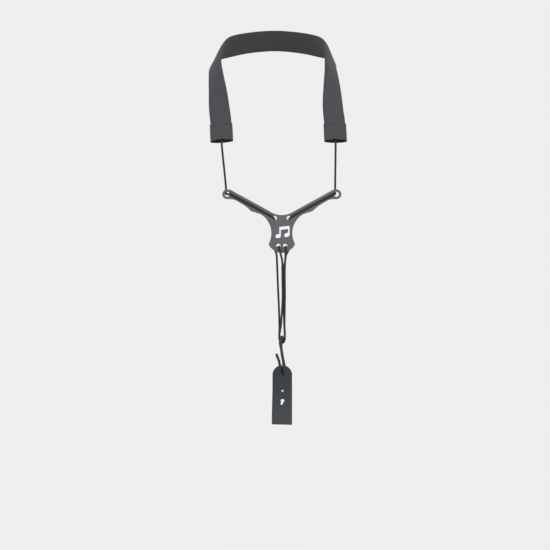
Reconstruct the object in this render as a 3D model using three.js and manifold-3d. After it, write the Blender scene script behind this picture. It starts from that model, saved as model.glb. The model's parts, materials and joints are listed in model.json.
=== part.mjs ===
// Woodwind neck strap: a padded neck band, two long cords, a Y-shaped length adjuster and a
// leather thumb-rest tab on a lace.
//
// Millimetres, +Z up. The strap's front faces -Y and +X is the viewer's right. The origin is on
// the band's inner face at the middle of the nape, where the strap rests on the player's neck.

import * as THREE from 'three';
import { mergeVertices } from 'three/addons/utils/BufferGeometryUtils.js';
import Module from 'manifold-3d';

const wasm = await Module();
wasm.setup();

// ---------------------------------------------------------------- driving dimensions

const LEFT = -1;
const RIGHT = 1;
const GAP = 0.3; // between pieces that touch

// Neck band: lining, foam and outer face, three thin layers about the band's mid-surface.
const BAND_WIDTH = 23.4;
const BAND_THICKNESS = 3.2;
const FACE_THICKNESS = 0.8;
const LINING_THICKNESS = 0.6;
const PADDING_MARGIN = 1; // the foam stops short of the sewn edges
const BAND_STATIONS = 88;

// End sleeves: the folded and sewn hems that hold the cords' knots.
const SLEEVE_LENGTH = 22.6;
const SLEEVE_WIDTH = 25.2;
const SLEEVE_THICKNESS = 5.6;
const SLEEVE_WALL = 0.6;
const SLEEVE_CORNER = 1.2;
const HEM_WALL = 1.2;
const KNOT_POCKET = 10; // free depth at the bottom of a sleeve, below the band's end
const SEAM = { width: 23, thickness: 0.4, height: 0.7, fromMouth: 2.2 };

// Cords and lace.
const CORD_DIAMETER = 2.2;
const CORD_SIDES = 8;
const LACE_DIAMETER = 3;
const TAIL_DIAMETER = 2.8;
const WRAP_DIAMETER = 1.2; // the lace is squeezed where it passes the tab's slit
const LACE_SIDES = 10;

// Yoke. Its own origin is midway between the two top holes, on its middle plane.
const YOKE_THICKNESS = 3.4;
const RING = { x: 60.1, z: 26.2, outer: 5.4, inner: 2.75 };
const TOP_HOLE = { x: 7.75, z: 0, radius: 2.4 };
const BOTTOM_HOLE = { x: 3.7, z: -30.5, radius: 2.3 };
const RIDGE = { from: { x: 13.7, z: 5.9 }, to: { x: 57.4, z: 29.9 }, radius: 1.5, height: 1 };
const CHANNEL = { from: { x: 8.9, z: 0.4 }, to: { x: 57.5, z: 26.3 }, radius: 1.45, floor: -0.2 };
const EMBLEM_THICKNESS = 0.3;
const RING_LEAN = -1.4; // both cords pass their rings a little to the left of the middle
const END_LEAN = 0.6; // and their bottom holes a little to the right
const STOP_KNOT_DROP = 3.8; // the stopper knots lie below their holes, which stay part open

// Leather tab, in the yoke's coordinates.
const TAB = { x: 0.5, top: -161.7, bottom: -227.4, width: 21.6, thickness: 2.8 };
const TAB_FLARE = 0.75; // it was cut by hand, so its foot is wider on the left,
const TAB_SKEW = 0.5; // and shorter there

// Everything below the hems hangs in one upright plane.
const HANG_Y = -122;
const HEM_Z = -118;
const YOKE_X = 8;
const YOKE_Z = -202.4;

const FRONT = -YOKE_THICKNESS / 2;
const BACK = YOKE_THICKNESS / 2;
const CORD_BEHIND = BACK + GAP + CORD_DIAMETER / 2;
const CORD_IN_FRONT = -CORD_BEHIND;
const CORD_IN_CHANNEL = CHANNEL.floor - GAP - CORD_DIAMETER / 2;

// ---------------------------------------------------------------- materials

function finish(color, roughness) {
  return () => new THREE.MeshStandardMaterial({ color, roughness, metalness: 0 });
}

const bandFabric = finish(0x4c4e52, 0.85);
const liningFabric = finish(0x3a3b3e, 0.9);
const foam = finish(0x2c2c2e, 0.95);
const thread = finish(0x2b2b2d, 0.8);
const cordBraid = finish(0x27282a, 0.75);
const laceBraid = finish(0x2f2f31, 0.8);
const yokePlastic = finish(0x6a6d70, 0.45);
const emblemPrint = finish(0xf2f2f2, 0.5);
const tabLeather = finish(0x44494d, 0.7);

function piece(name, geometry, material) {
  const mesh = new THREE.Mesh(geometry, material());
  mesh.name = name;
  return mesh;
}

// ---------------------------------------------------------------- cutting and joining

function toManifold(geometry) {
  const bare = geometry.clone();
  bare.deleteAttribute('normal');
  bare.deleteAttribute('uv');
  const merged = mergeVertices(bare);
  const vertProperties = Float32Array.from(merged.attributes.position.array);
  const triVerts = Uint32Array.from(merged.index.array);
  return new wasm.Manifold(new wasm.Mesh({ numProp: 3, vertProperties, triVerts }));
}

function toGeometry(manifold) {
  const mesh = manifold.getMesh();
  const geometry = new THREE.BufferGeometry();
  geometry.setAttribute('position', new THREE.BufferAttribute(mesh.vertProperties, 3));
  geometry.setIndex(new THREE.BufferAttribute(mesh.triVerts, 1));
  return geometry;
}

function join(...geometries) {
  return toGeometry(geometries.map(toManifold).reduce((sum, next) => sum.add(next)));
}

function cut(geometry, cutters) {
  const start = toManifold(geometry);
  return toGeometry(cutters.map(toManifold).reduce((rest, next) => rest.subtract(next), start));
}

// ---------------------------------------------------------------- basic solids

// A solid with the given outline in X and Z, between two depths in Y.
function slab(outline, front, back) {
  const depth = back - front;
  const geometry = new THREE.ExtrudeGeometry(outline, { depth, bevelEnabled: false, curveSegments: 10 });
  return geometry.rotateX(Math.PI / 2).translate(0, back, 0);
}

function disc(x, z, radius) {
  return new THREE.Shape().absarc(x, z, radius, 0, 2 * Math.PI);
}

function mirrored(point, side) {
  return { x: side * point.x, z: point.z };
}

// A slot with two round ends: the outline drawn tight round two circles.
function slot(start, startRadius, end, endRadius) {
  const [dx, dz] = [end.x - start.x, end.z - start.z];
  const along = Math.atan2(dz, dx);
  const spread = Math.acos((startRadius - endRadius) / Math.hypot(dx, dz));
  const outline = new THREE.Shape();
  outline.absarc(start.x, start.z, startRadius, along + spread, along + 2 * Math.PI - spread);
  outline.absarc(end.x, end.z, endRadius, along - spread, along + spread);
  return outline;
}

// A round cord or lace along a smooth line through the points of its route.
function tube(route, diameter, sides, steps) {
  const path = new THREE.CatmullRomCurve3(route.map(([x, y, z]) => new THREE.Vector3(x, y, z)));
  const corners = Array.from({ length: sides }, (_, i) => {
    const angle = (2 * Math.PI * i) / sides;
    return new THREE.Vector2(Math.cos(angle), Math.sin(angle)).multiplyScalar(diameter / 2);
  });
  return new THREE.ExtrudeGeometry(new THREE.Shape(corners), { steps, extrudePath: path });
}

function cord(route, steps) {
  return tube(route, CORD_DIAMETER, CORD_SIDES, steps);
}

// A knot pulled tight, as a plain rounded lump.
function knotLump(width, depth, height) {
  return new THREE.SphereGeometry(0.5, 14, 9).scale(width, depth, height);
}

// ---------------------------------------------------------------- neck band

// Half of the band's middle line, from the nape to the hem: how far it reaches sideways, y, z, the
// direction its outer face looks in on the right, and how far the drape leans to the right.
const BAND_ROUTE = [
  { reach: 0, y: 1.6, z: 0, faces: [0, 1, 0], lean: 0 },
  { reach: 24.5, y: -3.4, z: -2, faces: [0.4, 0.92, 0], lean: 0 },
  { reach: 45, y: -17.5, z: -6.5, faces: [0.74, 0.67, 0.02], lean: 0 },
  { reach: 58.2, y: -37.5, z: -13, faces: [0.9, 0.24, 0.36], lean: 0.2 },
  { reach: 63.3, y: -55, z: -21.5, faces: [0.91, -0.11, 0.4], lean: -0.5 },
  { reach: 64.5, y: -68, z: -30.5, faces: [0.83, -0.46, 0.31], lean: -1.7 },
  { reach: 64.5, y: -80, z: -44, faces: [0.7, -0.71, 0.1], lean: -0.9 },
  { reach: 63.6, y: -90.5, z: -61, faces: [0.5, -0.86, 0.05], lean: 0.4 },
  { reach: 62.9, y: -100.2, z: -80.5, faces: [0.24, -0.95, 0.22], lean: 1.7 },
  { reach: 62.7, y: -110.4, z: -98.6, faces: [0.05, -0.86, 0.5], lean: 3.7 },
  { reach: 62.6, y: HANG_Y, z: HEM_Z, faces: [0.05, -0.86, 0.5], lean: 4.6 },
];

function middlePoint(row, side) {
  return new THREE.Vector3(side * row.reach + row.lean, row.y, row.z);
}

function facing(row, side) {
  const [x, y, z] = row.faces;
  return new THREE.Vector3(side * x, y, z);
}

// A point on the band with three axes: along it, out of its outer face, and across its width.
function station(point, direction, outward) {
  const along = direction.clone().normalize();
  const out = outward.clone().addScaledVector(along, -outward.dot(along)).normalize();
  return { point, along, out, across: new THREE.Vector3().crossVectors(out, along) };
}

// The bottom middle of one hem, with its axis pointing down out of the sleeve.
function hemStation(side) {
  const [mouth, hem] = BAND_ROUTE.slice(-2);
  const end = middlePoint(hem, side);
  return station(end, end.clone().sub(middlePoint(mouth, side)), facing(hem, side));
}

// The band's end inside a sleeve. Its axis points the way that the band is walked, left to right.
function hiddenEnd(side) {
  const { point, along, out } = hemStation(side);
  const end = point.clone().addScaledVector(along, -KNOT_POCKET);
  return station(end, along.clone().multiplyScalar(side), out);
}

// Stations from the left hem over the nape to the right hem. The band curves as far as the
// sleeves' mouths and is straight inside them.
function bandStations() {
  const leftRows = BAND_ROUTE.map((row) => [row, LEFT]).reverse();
  const rightRows = BAND_ROUTE.slice(1).map((row) => [row, RIGHT]);
  const rows = [...leftRows, ...rightRows];
  const middle = new THREE.CatmullRomCurve3(rows.map(([row, side]) => middlePoint(row, side)));
  const outward = new THREE.CatmullRomCurve3(rows.map(([row, side]) => facing(row, side)));
  const mouth = 1 / (rows.length - 1);
  const curved = Array.from({ length: BAND_STATIONS }, (_, i) => {
    const t = THREE.MathUtils.lerp(mouth, 1 - mouth, i / (BAND_STATIONS - 1));
    return station(middle.getPoint(t), middle.getTangent(t), outward.getPoint(t));
  });
  return [hiddenEnd(LEFT), ...curved, hiddenEnd(RIGHT)];
}

// A flat strip along the stations, between two distances from the band's mid-surface. The outer
// side's quads are split along the same diagonals as the inner side's, so that nested strips stay
// parallel where the band twists.
const OUTER_SIDE = 2;

function strip(stations, width, inner, outer) {
  const section = [[-1, inner], [1, inner], [1, outer], [-1, outer]];
  const corners = stations.flatMap(({ point, out, across }) =>
    section.map(([edge, offset]) =>
      point.clone().addScaledVector(across, (edge * width) / 2).addScaledVector(out, offset),
    ),
  );
  const triangles = [[0, 2, 1], [0, 3, 2]];
  for (let row = 0; row < stations.length - 1; row += 1) {
    for (let corner = 0; corner < 4; corner += 1) {
      const a = 4 * row + corner;
      const b = 4 * row + ((corner + 1) % 4);
      if (corner === OUTER_SIDE) triangles.push([a, b, b + 4], [a, b + 4, a + 4]);
      else triangles.push([a, b, a + 4], [b, b + 4, a + 4]);
    }
  }
  const last = 4 * (stations.length - 1);
  triangles.push([last, last + 1, last + 2], [last, last + 2, last + 3]);
  const geometry = new THREE.BufferGeometry().setFromPoints(corners);
  geometry.setIndex(triangles.flat());
  return geometry;
}

function neckBand() {
  const half = BAND_THICKNESS / 2;
  const stations = bandStations();
  const liningTop = -half + LINING_THICKNESS;
  const faceBottom = half - FACE_THICKNESS;
  const foamWidth = BAND_WIDTH - 2 * PADDING_MARGIN;
  return [
    piece('neck_band_lining', strip(stations, BAND_WIDTH, -half, liningTop), liningFabric),
    piece('neck_band_padding', strip(stations, foamWidth, liningTop + GAP, faceBottom - GAP), foam),
    piece('neck_band_face', strip(stations, BAND_WIDTH, faceBottom, half), bandFabric),
  ];
}

// ---------------------------------------------------------------- end sleeves

// A group whose origin is at the bottom middle of a hem: X across the band, Y out of its outer
// face, and Z down out of the sleeve.
function hemGroup(side, meshes) {
  const { point, along, out, across } = hemStation(side);
  const group = new THREE.Group();
  group.applyMatrix4(new THREE.Matrix4().makeBasis(across, out, along).setPosition(point));
  group.add(...meshes);
  return group;
}

function roundedRectangle(width, height, radius) {
  const [x, y] = [width / 2 - radius, height / 2 - radius];
  const outline = new THREE.Shape();
  outline.absarc(x, y, radius, 0, Math.PI / 2);
  outline.absarc(-x, y, radius, Math.PI / 2, Math.PI);
  outline.absarc(-x, -y, radius, Math.PI, 1.5 * Math.PI);
  outline.absarc(x, -y, radius, 1.5 * Math.PI, 2 * Math.PI);
  return outline;
}

function sleeve() {
  const outline = roundedRectangle(SLEEVE_WIDTH, SLEEVE_THICKNESS, SLEEVE_CORNER);
  const body = new THREE.ExtrudeGeometry(outline, {
    depth: SLEEVE_LENGTH,
    bevelEnabled: false,
    curveSegments: 4,
  });
  body.translate(0, 0, -SLEEVE_LENGTH);
  const inside = SLEEVE_LENGTH; // longer than the pocket is deep, so that it opens at the mouth
  const pocket = new THREE.BoxGeometry(
    SLEEVE_WIDTH - 2 * SLEEVE_WALL,
    SLEEVE_THICKNESS - 2 * SLEEVE_WALL,
    inside,
  );
  pocket.translate(0, 0, -HEM_WALL - inside / 2);
  const cordHole = new THREE.CylinderGeometry(CORD_DIAMETER / 2 + GAP, CORD_DIAMETER / 2 + GAP, 4 * HEM_WALL, 12);
  return cut(body, [pocket, cordHole.rotateX(Math.PI / 2)]);
}

// The cord's end inside the sleeve: its knot, and the short stretch through the hem.
function sleeveKnot() {
  const [width, depth, height] = [5.6, 3.6, 4.4];
  const centre = -HEM_WALL - GAP - height / 2;
  const lump = knotLump(width, depth, height).translate(0, 0, centre);
  const stubLength = HEM_WALL - centre;
  const stub = new THREE.CylinderGeometry(CORD_DIAMETER / 2, CORD_DIAMETER / 2, stubLength, CORD_SIDES);
  stub.rotateX(Math.PI / 2).translate(0, 0, centre + stubLength / 2);
  return join(lump, stub);
}

function sleeveSeam() {
  const bar = new THREE.BoxGeometry(SEAM.width, SEAM.thickness, SEAM.height);
  return bar.translate(0, (SLEEVE_THICKNESS + SEAM.thickness) / 2 + GAP, SEAM.fromMouth - SLEEVE_LENGTH);
}

function bandEnd(name, side) {
  return hemGroup(side, [
    piece(`end_sleeve_${name}`, sleeve(), bandFabric),
    piece(`sleeve_seam_${name}`, sleeveSeam(), thread),
    piece(`cord_${name}_sleeve_knot`, sleeveKnot(), cordBraid),
  ]);
}

// ---------------------------------------------------------------- cords

// From just below the hem to just above the yoke's ring, passing from the hem's slope to upright.
function upperCord(name, side) {
  const { point } = hemStation(side);
  const ringX = YOKE_X + side * RING.x + RING_LEAN;
  const route = [
    [point.x, HANG_Y - 0.85, HEM_Z - 1.5],
    [point.x, HANG_Y - 1.3, HEM_Z - 4],
    [THREE.MathUtils.lerp(point.x, ringX, 0.2), HANG_Y - 0.6, HEM_Z - 14],
    [THREE.MathUtils.lerp(point.x, ringX, 0.65), HANG_Y + 1.6, HEM_Z - 34],
    [ringX, HANG_Y + CORD_BEHIND, YOKE_Z + 33.5],
  ];
  return piece(`cord_${name}_upper`, cord(route, 12), cordBraid);
}

// Through the ring from behind, down the arm's channel, through the top hole and down the plate's
// back to its bottom edge.
function armCord(name, side, bottomX) {
  const lean = side * RING_LEAN;
  const route = [
    [RING.x + lean, CORD_BEHIND, 33.2],
    [RING.x + lean, CORD_BEHIND + 0.2, 30.5],
    [RING.x + lean, 3, 28.2],
    [RING.x + lean * 0.9, 1.2, 26.6],
    [RING.x - 0.9 + lean * 0.6, -0.5, 26.2],
    [57.6, CORD_IN_CHANNEL, 26.1],
    [50, CORD_IN_CHANNEL, 22.3],
    [40, CORD_IN_CHANNEL, 17],
    [30, CORD_IN_CHANNEL, 11.6],
    [20, CORD_IN_CHANNEL, 6.3],
    [12, CORD_IN_CHANNEL, 2.1],
    [9.6, -1.4, 0.6],
    [8.7, -0.2, -0.4],
    [8.3, 1.7, -0.8],
    [8.2, 3, -1.7],
    [8.1, 3.3, -3.5],
    [8.1, CORD_BEHIND, -8],
    [8.1, CORD_BEHIND, -20],
    [8.1, CORD_BEHIND, -31],
    [7.3, CORD_BEHIND, -35.5],
    [bottomX, CORD_BEHIND, -39.3],
  ];
  const placed = route.map(([x, y, z]) => [side * x, y, z]);
  return piece(`cord_${name}_arm`, cord(placed, 56), cordBraid);
}

// The left cord's loop: down from behind the plate on the left, round under the lace, and up in
// front on the right.
const LEFT_LOOP_ROUTE = [
  [-5.8, CORD_BEHIND, -40.1],
  [-5.4, CORD_BEHIND, -46],
  [-5, 2.9, -56],
  [-4.3, 2.5, -74],
  [-3.5, 2.1, -92],
  [-2.9, 1.9, -106],
  [-2.6, 1.8, -120],
  [-2.8, 1.8, -129],
  [-2.6, 1.4, -133.6],
  [-1.4, 0.6, -136.4],
  [0.3, 0, -137.3],
  [2, -0.6, -136.4],
  [3.2, -1.4, -133.6],
  [3.4, -1.8, -129],
  [3, -1.8, -120],
  [3.1, -2.2, -104],
  [3.4, -2.8, -84],
  [3.2, CORD_IN_FRONT, -60],
  [3.6, CORD_IN_FRONT, -48],
  [4.1, CORD_IN_FRONT, -40.1],
];

// The right cord's loop: down from behind the plate on the right, round under the lace inside the
// left cord's turn, and up in front, from beside the left strand back to the middle.
const RIGHT_LOOP_ROUTE = [
  [4.9, CORD_BEHIND, -40.1],
  [3.7, CORD_BEHIND, -47],
  [2.2, 2.9, -58],
  [2, 2.7, -76],
  [2.2, 2.3, -95],
  [2.5, 1.9, -112],
  [3, 1.8, -124],
  [3.2, 1.7, -129],
  [2.8, 1.2, -132.4],
  [0.3, 0, -134.5],
  [-2.2, -1.2, -132.4],
  [-2.6, -1.7, -129],
  [-2.1, -1.8, -125],
  [-1, -1.8, -118],
  [-0.4, -2, -110],
  [0.3, -2.3, -101],
  [0.9, -2.6, -88],
  [0.8, -3, -72],
  [0.6, CORD_IN_FRONT, -58],
  [0.5, CORD_IN_FRONT, -48],
  [-0.3, CORD_IN_FRONT, -43.4],
  [-1.2, CORD_IN_FRONT, -40.1],
];

// Up over the plate's front and back through a bottom hole, to the knot behind the plate.
function endCord(name, side, startX) {
  const holeX = side * BOTTOM_HOLE.x + END_LEAN;
  const route = [
    [startX, CORD_IN_FRONT, -39.3],
    [THREE.MathUtils.lerp(startX, holeX, 0.35), CORD_IN_FRONT, -37],
    [THREE.MathUtils.lerp(startX, holeX, 0.85), -3.2, -33.8],
    [holeX, -2.6, -32.1],
    [holeX, -1, -31.4],
    [holeX, BACK + 0.5, -31.6],
  ];
  return piece(`cord_${name}_end`, cord(route, 9), cordBraid);
}

function stopKnot(name, side) {
  const [width, depth, height] = [5, 4.6, 5.6];
  const lump = knotLump(width, depth, height);
  lump.translate(side * BOTTOM_HOLE.x, BACK + GAP + depth / 2, BOTTOM_HOLE.z - STOP_KNOT_DROP);
  return piece(`cord_${name}_stop_knot`, lump, cordBraid);
}

// ---------------------------------------------------------------- yoke

// The right half of the yoke's outline, from the middle of its top edge to the middle of its
// bottom edge: the V's inner curve, the ring, the arm's underside with its bulge, the waist and
// the lobe.
function halfOutline() {
  const points = (list) => list.map(([x, z]) => new THREE.Vector2(x, z));
  const degrees = THREE.MathUtils.degToRad;
  const outline = new THREE.Path();
  outline.moveTo(0, 3.4);
  outline.quadraticCurveTo(7, 3.5, 13, 7.2);
  outline.lineTo(57.2, 31.45);
  outline.absarc(RING.x, RING.z, RING.outer, degrees(118), degrees(-105), true);
  outline.splineThru(points([[52.5, 20.2], [44.8, 16.1], [38.4, 11.8], [33.9, 7.7]]));
  outline.splineThru(points([[28.5, 5.9], [23.7, 4.3], [18.9, 0.9], [14.9, -4.4], [12.2, -10.8], [11.5, -17]]));
  outline.splineThru(points([[12.2, -22.2], [14.6, -29]]));
  outline.splineThru(points([[12.6, -32], [9, -35.3], [4.5, -37.8], [0, -38.4]]));
  return outline.getPoints(4);
}

function yokeBody() {
  const right = halfOutline();
  const left = right.slice(1, -1).reverse().map(({ x, y }) => new THREE.Vector2(-x, y));
  const plate = slab(new THREE.Shape([...right, ...left]), FRONT, BACK);
  const ridges = [];
  const cutters = [];
  for (const side of [LEFT, RIGHT]) {
    const ridge = slot(mirrored(RIDGE.from, side), RIDGE.radius, mirrored(RIDGE.to, side), RIDGE.radius);
    const channel = slot(mirrored(CHANNEL.from, side), CHANNEL.radius, mirrored(CHANNEL.to, side), CHANNEL.radius);
    ridges.push(slab(ridge, FRONT - RIDGE.height, 0));
    cutters.push(slab(channel, FRONT - 2 * RIDGE.height, CHANNEL.floor));
    cutters.push(slab(disc(side * RING.x, RING.z, RING.inner), 2 * FRONT, 2 * BACK));
    cutters.push(slab(disc(side * TOP_HOLE.x, TOP_HOLE.z, TOP_HOLE.radius), 2 * FRONT, 2 * BACK));
    cutters.push(slab(disc(side * BOTTOM_HOLE.x, BOTTOM_HOLE.z, BOTTOM_HOLE.radius), 2 * FRONT, 2 * BACK));
  }
  return piece('yoke_body', cut(join(plate, ...ridges), cutters), yokePlastic);
}

// A plain printed mark: two beamed notes.
function emblem() {
  const front = FRONT - GAP - EMBLEM_THICKNESS;
  const back = FRONT - GAP;
  const headTilt = Math.PI / 8;
  const noteHead = (x, z) =>
    slab(new THREE.Shape().absellipse(x, z, 3.1, 2.2, 0, 2 * Math.PI, false, headTilt), front, back);
  const quad = (corners) => slab(new THREE.Shape(corners.map(([x, z]) => new THREE.Vector2(x, z))), front, back);
  const leftStem = quad([[-2.7, -20.2], [-1.1, -20.2], [-1.1, -10], [-2.7, -10]]);
  const rightStem = quad([[6.9, -18.9], [8.5, -18.9], [8.5, -9], [6.9, -9]]);
  const beam = quad([[-2.7, -13], [8.5, -11.8], [8.5, -8.6], [-2.7, -9.8]]);
  const notes = join(noteHead(-4, -19.8), noteHead(5.6, -18.6), leftStem, rightStem, beam);
  return piece('yoke_emblem', notes, emblemPrint);
}

// ---------------------------------------------------------------- lace and tab

// One loop of lace: up in front of the cords' turns, through them, and down behind.
const LACE_ROUTE = [
  [2.3, 3.2, -164.4],
  [2.4, 3, -160.6],
  [1.4, 1.8, -156],
  [0.5, 0.2, -151.8],
  [-0.3, -1.9, -146],
  [-1, -3.2, -142],
  [-1.8, -4.4, -137.2],
  [-1.5, -4.9, -134],
  [-0.3, -4.4, -131.6],
  [0.3, -2.7, -130.7],
  [0.3, 0, -130.7],
  [0.3, 2.7, -130.8],
  [0.1, 4.5, -132.4],
  [-0.5, 5, -136],
  [-0.7, 4.9, -142],
  [0.2, 5, -149],
  [1.4, 5.6, -156],
  [2.3, 6.4, -164.4],
];

// The lace's wrap round the strip of leather above the slit: forward through the slit, and over
// the tab's top edge, where it has pulled a dent.
const WRAP_ROUTE = [
  [0.2, 1.7, -166.6],
  [0.1, 0, -166.3],
  [0, -1.8, -165.9],
  [-0.1, -2.4, -164.6],
  [-0.2, -2.1, -163.1],
  [-0.2, 0, -162.5],
  [-0.2, 2.1, -163.1],
  [-0.2, 2.5, -164.2],
];

const TAIL_ROUTE = [
  [-1.4, 4.5, -164],
  [-2.4, 4.4, -161],
  [-3, 4.2, -158],
  [-3.9, 4, -155],
  [-5.2, 3.8, -151.8],
  [-6.1, 3.7, -149],
];

function laceKnot() {
  const lump = knotLump(6.8, 6.2, 6.4);
  return lump.translate(0.8, TAB.thickness / 2 + GAP + 3.1, -168.4);
}

function tabOutline() {
  const radius = TAB.width / 2;
  const outline = new THREE.Shape();
  outline.moveTo(TAB.x + radius, TAB.bottom);
  outline.lineTo(TAB.x + radius, TAB.top - radius);
  outline.absarc(TAB.x, TAB.top - radius, radius, 0, Math.PI);
  outline.lineTo(TAB.x - radius, -188);
  outline.lineTo(TAB.x - radius - TAB_FLARE, -216);
  outline.lineTo(TAB.x - radius - TAB_FLARE, TAB.bottom + TAB_SKEW);
  return outline;
}

// The dent and the slit for the lace, a small round hole, and the keyhole that slips over a thumb
// rest's lug, with a short relief slit above it and one below.
function leatherTab() {
  const half = TAB.thickness / 2;
  const dent = disc(-0.2, -162.2, 1.6);
  const laceSlit = slot({ x: -0.1, z: -166.35 }, 1.35, { x: 1.9, z: -174.3 }, 0.3);
  const smallHole = disc(0.75, -190, 1.1);
  const keyhole = [
    disc(0.75, -200.9, 2),
    slot({ x: 0.3, z: -202.6 }, 1.1, { x: -0.15, z: -204.4 }, 1.1),
    slot({ x: 0.6, z: -201.5 }, 0.25, { x: 0.2, z: -196.4 }, 0.25),
    slot({ x: -0.1, z: -204 }, 0.25, { x: 0.3, z: -207.4 }, 0.25),
  ];
  const openings = [dent, laceSlit, smallHole, ...keyhole];
  const cutters = openings.map((opening) => slab(opening, -2 * half, 2 * half));
  return cut(slab(tabOutline(), -half, half), cutters);
}

function laceAndTab() {
  return [
    piece('lace_loop', tube(LACE_ROUTE, LACE_DIAMETER, LACE_SIDES, 40), laceBraid),
    piece('lace_wrap', tube(WRAP_ROUTE, WRAP_DIAMETER, CORD_SIDES, 12), laceBraid),
    piece('lace_knot', laceKnot(), laceBraid),
    piece('lace_tail', tube(TAIL_ROUTE, TAIL_DIAMETER, LACE_SIDES, 7), laceBraid),
    piece('leather_tab', leatherTab(), tabLeather),
  ];
}

// ---------------------------------------------------------------- assembly

// Everything drawn in the yoke's coordinates: the yoke, the cords on and below it, the lace and
// the tab. Each cord ends in the bottom hole on the other side.
function hangingPieces() {
  const group = new THREE.Group();
  group.position.set(YOKE_X, HANG_Y, YOKE_Z);
  group.add(
    yokeBody(),
    emblem(),
    armCord('left', LEFT, 5.8),
    armCord('right', RIGHT, 4.9),
    piece('cord_left_loop', cord(LEFT_LOOP_ROUTE, 60), cordBraid),
    piece('cord_right_loop', cord(RIGHT_LOOP_ROUTE, 60), cordBraid),
    endCord('left', RIGHT, 4.1),
    endCord('right', LEFT, -1.2),
    stopKnot('left', RIGHT),
    stopKnot('right', LEFT),
    ...laceAndTab(),
  );
  return group;
}

const strap = new THREE.Group();
strap.add(
  ...neckBand(),
  bandEnd('left', LEFT),
  bandEnd('right', RIGHT),
  upperCord('left', LEFT),
  upperCord('right', RIGHT),
  hangingPieces(),
);

export default strap;
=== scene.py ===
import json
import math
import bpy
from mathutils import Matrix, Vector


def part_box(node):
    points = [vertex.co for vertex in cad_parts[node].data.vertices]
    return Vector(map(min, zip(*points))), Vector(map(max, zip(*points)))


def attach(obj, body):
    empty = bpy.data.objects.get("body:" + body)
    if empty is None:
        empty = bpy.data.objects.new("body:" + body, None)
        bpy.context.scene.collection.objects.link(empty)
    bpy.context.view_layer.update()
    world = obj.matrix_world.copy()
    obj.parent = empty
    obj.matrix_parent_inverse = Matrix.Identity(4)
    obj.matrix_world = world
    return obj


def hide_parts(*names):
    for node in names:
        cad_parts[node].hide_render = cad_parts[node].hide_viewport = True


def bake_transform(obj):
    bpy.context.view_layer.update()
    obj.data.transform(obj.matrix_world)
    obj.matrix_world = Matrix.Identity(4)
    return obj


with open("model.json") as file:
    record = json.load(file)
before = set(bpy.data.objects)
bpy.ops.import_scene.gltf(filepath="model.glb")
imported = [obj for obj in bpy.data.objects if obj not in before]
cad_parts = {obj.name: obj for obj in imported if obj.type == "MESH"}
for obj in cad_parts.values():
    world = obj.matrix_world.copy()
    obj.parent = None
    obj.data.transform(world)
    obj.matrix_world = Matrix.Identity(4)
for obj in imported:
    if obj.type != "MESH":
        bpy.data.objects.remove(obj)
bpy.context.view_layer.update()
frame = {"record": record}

# Woodwind neck strap: the visible pieces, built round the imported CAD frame.
#
# Metres, +Z up. The strap's front faces -Y and +X is the viewer's right. The origin is on the
# neck band's inner face at the middle of the nape. "Yoke coordinates" start midway between the
# yoke's two top holes, on its middle plane.

from types import SimpleNamespace

import bmesh
import bpy
import numpy as np
from mathutils import Vector

# ---------------- driving dimensions

LEFT, RIGHT = -1, 1
SIDES = {"left": LEFT, "right": RIGHT}

BAND_WIDTH = 0.0234
BAND_EDGE = 0.0022  # thickness where the face and the lining are sewn together
BAND_CROWN = 0.0009  # how far the foam lifts the face
LINING_CROWN = 0.0004
SEAM_INSET = 0.0017  # from the band's edge to its row of stitches

SLEEVE_WIDTH = 0.0252
KNOT_DEPTH = 0.0037  # of the cord's knot above the hem

CORD_DIAMETER = 0.0022
LACE_DIAMETER = 0.003
TAIL_DIAMETER = 0.0028
WRAP_DIAMETER = 0.0012
CORD_GAP = 0.0003

YOKE_THICKNESS = 0.0034
RING_RISE = 0.0316  # top of a ring above the yoke's origin
RING = (0.0601, 0.0262)
RING_LEAN = -0.0014  # both cords pass their rings a little to the left of the middle
END_LEAN = 0.0006  # and their bottom holes a little to the right
TOP_HOLE = (0.00775, 0)
BOTTOM_HOLE = (0.0037, -0.0305)

TAB_THICKNESS = 0.0028
TAB_FLARE = 0.00075  # it was cut by hand, so its foot is wider on the left,
TAB_SKEW = 0.0005  # and shorter there
PALING_FROM, PALING_TO = -0.362, -0.42  # the leather pales from one height down to the other

yoke_low, yoke_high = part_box("yoke_body")
YOKE_X = (yoke_low.x + yoke_high.x) / 2
HANG_Y = yoke_high.y - YOKE_THICKNESS / 2
YOKE_Z = yoke_high.z - RING_RISE
YOKE = np.array([YOKE_X, HANG_Y, YOKE_Z])
FRONT = -YOKE_THICKNESS / 2
BACK = YOKE_THICKNESS / 2
BEHIND = BACK + CORD_GAP + CORD_DIAMETER / 2
IN_FRONT = -BEHIND
IN_CHANNEL = -0.0016


# ---------------- camera, light and floor

def add_object(name, data):
    """A new object in the scene that shows this mesh, light or camera."""
    obj = bpy.data.objects.new(name, data)
    bpy.context.scene.collection.objects.link(obj)
    return obj


def look_at(obj, target):
    direction = Vector(target) - obj.location
    obj.rotation_euler = direction.to_track_quat("-Z", "Y").to_euler()


def make_camera():
    """Level with the yoke, straight on to the strap's front, far away behind a long lens."""
    lens, sensor, clip_end = 250, 36, 100
    field, middle_x, middle_z = 0.605, 0.0005, -0.265
    camera = add_object("camera", bpy.data.cameras.new("camera"))
    camera.data.lens = lens
    camera.data.sensor_width = sensor
    camera.data.clip_end = clip_end
    camera.location = (middle_x, HANG_Y - field * lens / sensor, middle_z)
    camera.rotation_euler = (math.pi / 2, 0, 0)
    bpy.context.scene.camera = camera


def area_light(name, place, size, power):
    strap_middle = (0, -0.1, -0.22)
    light = bpy.data.lights.new(name, "AREA")
    light.shape = "DISK"
    light.size = size
    light.energy = power
    lamp = add_object(name, light)
    lamp.location = place
    look_at(lamp, strap_middle)


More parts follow.
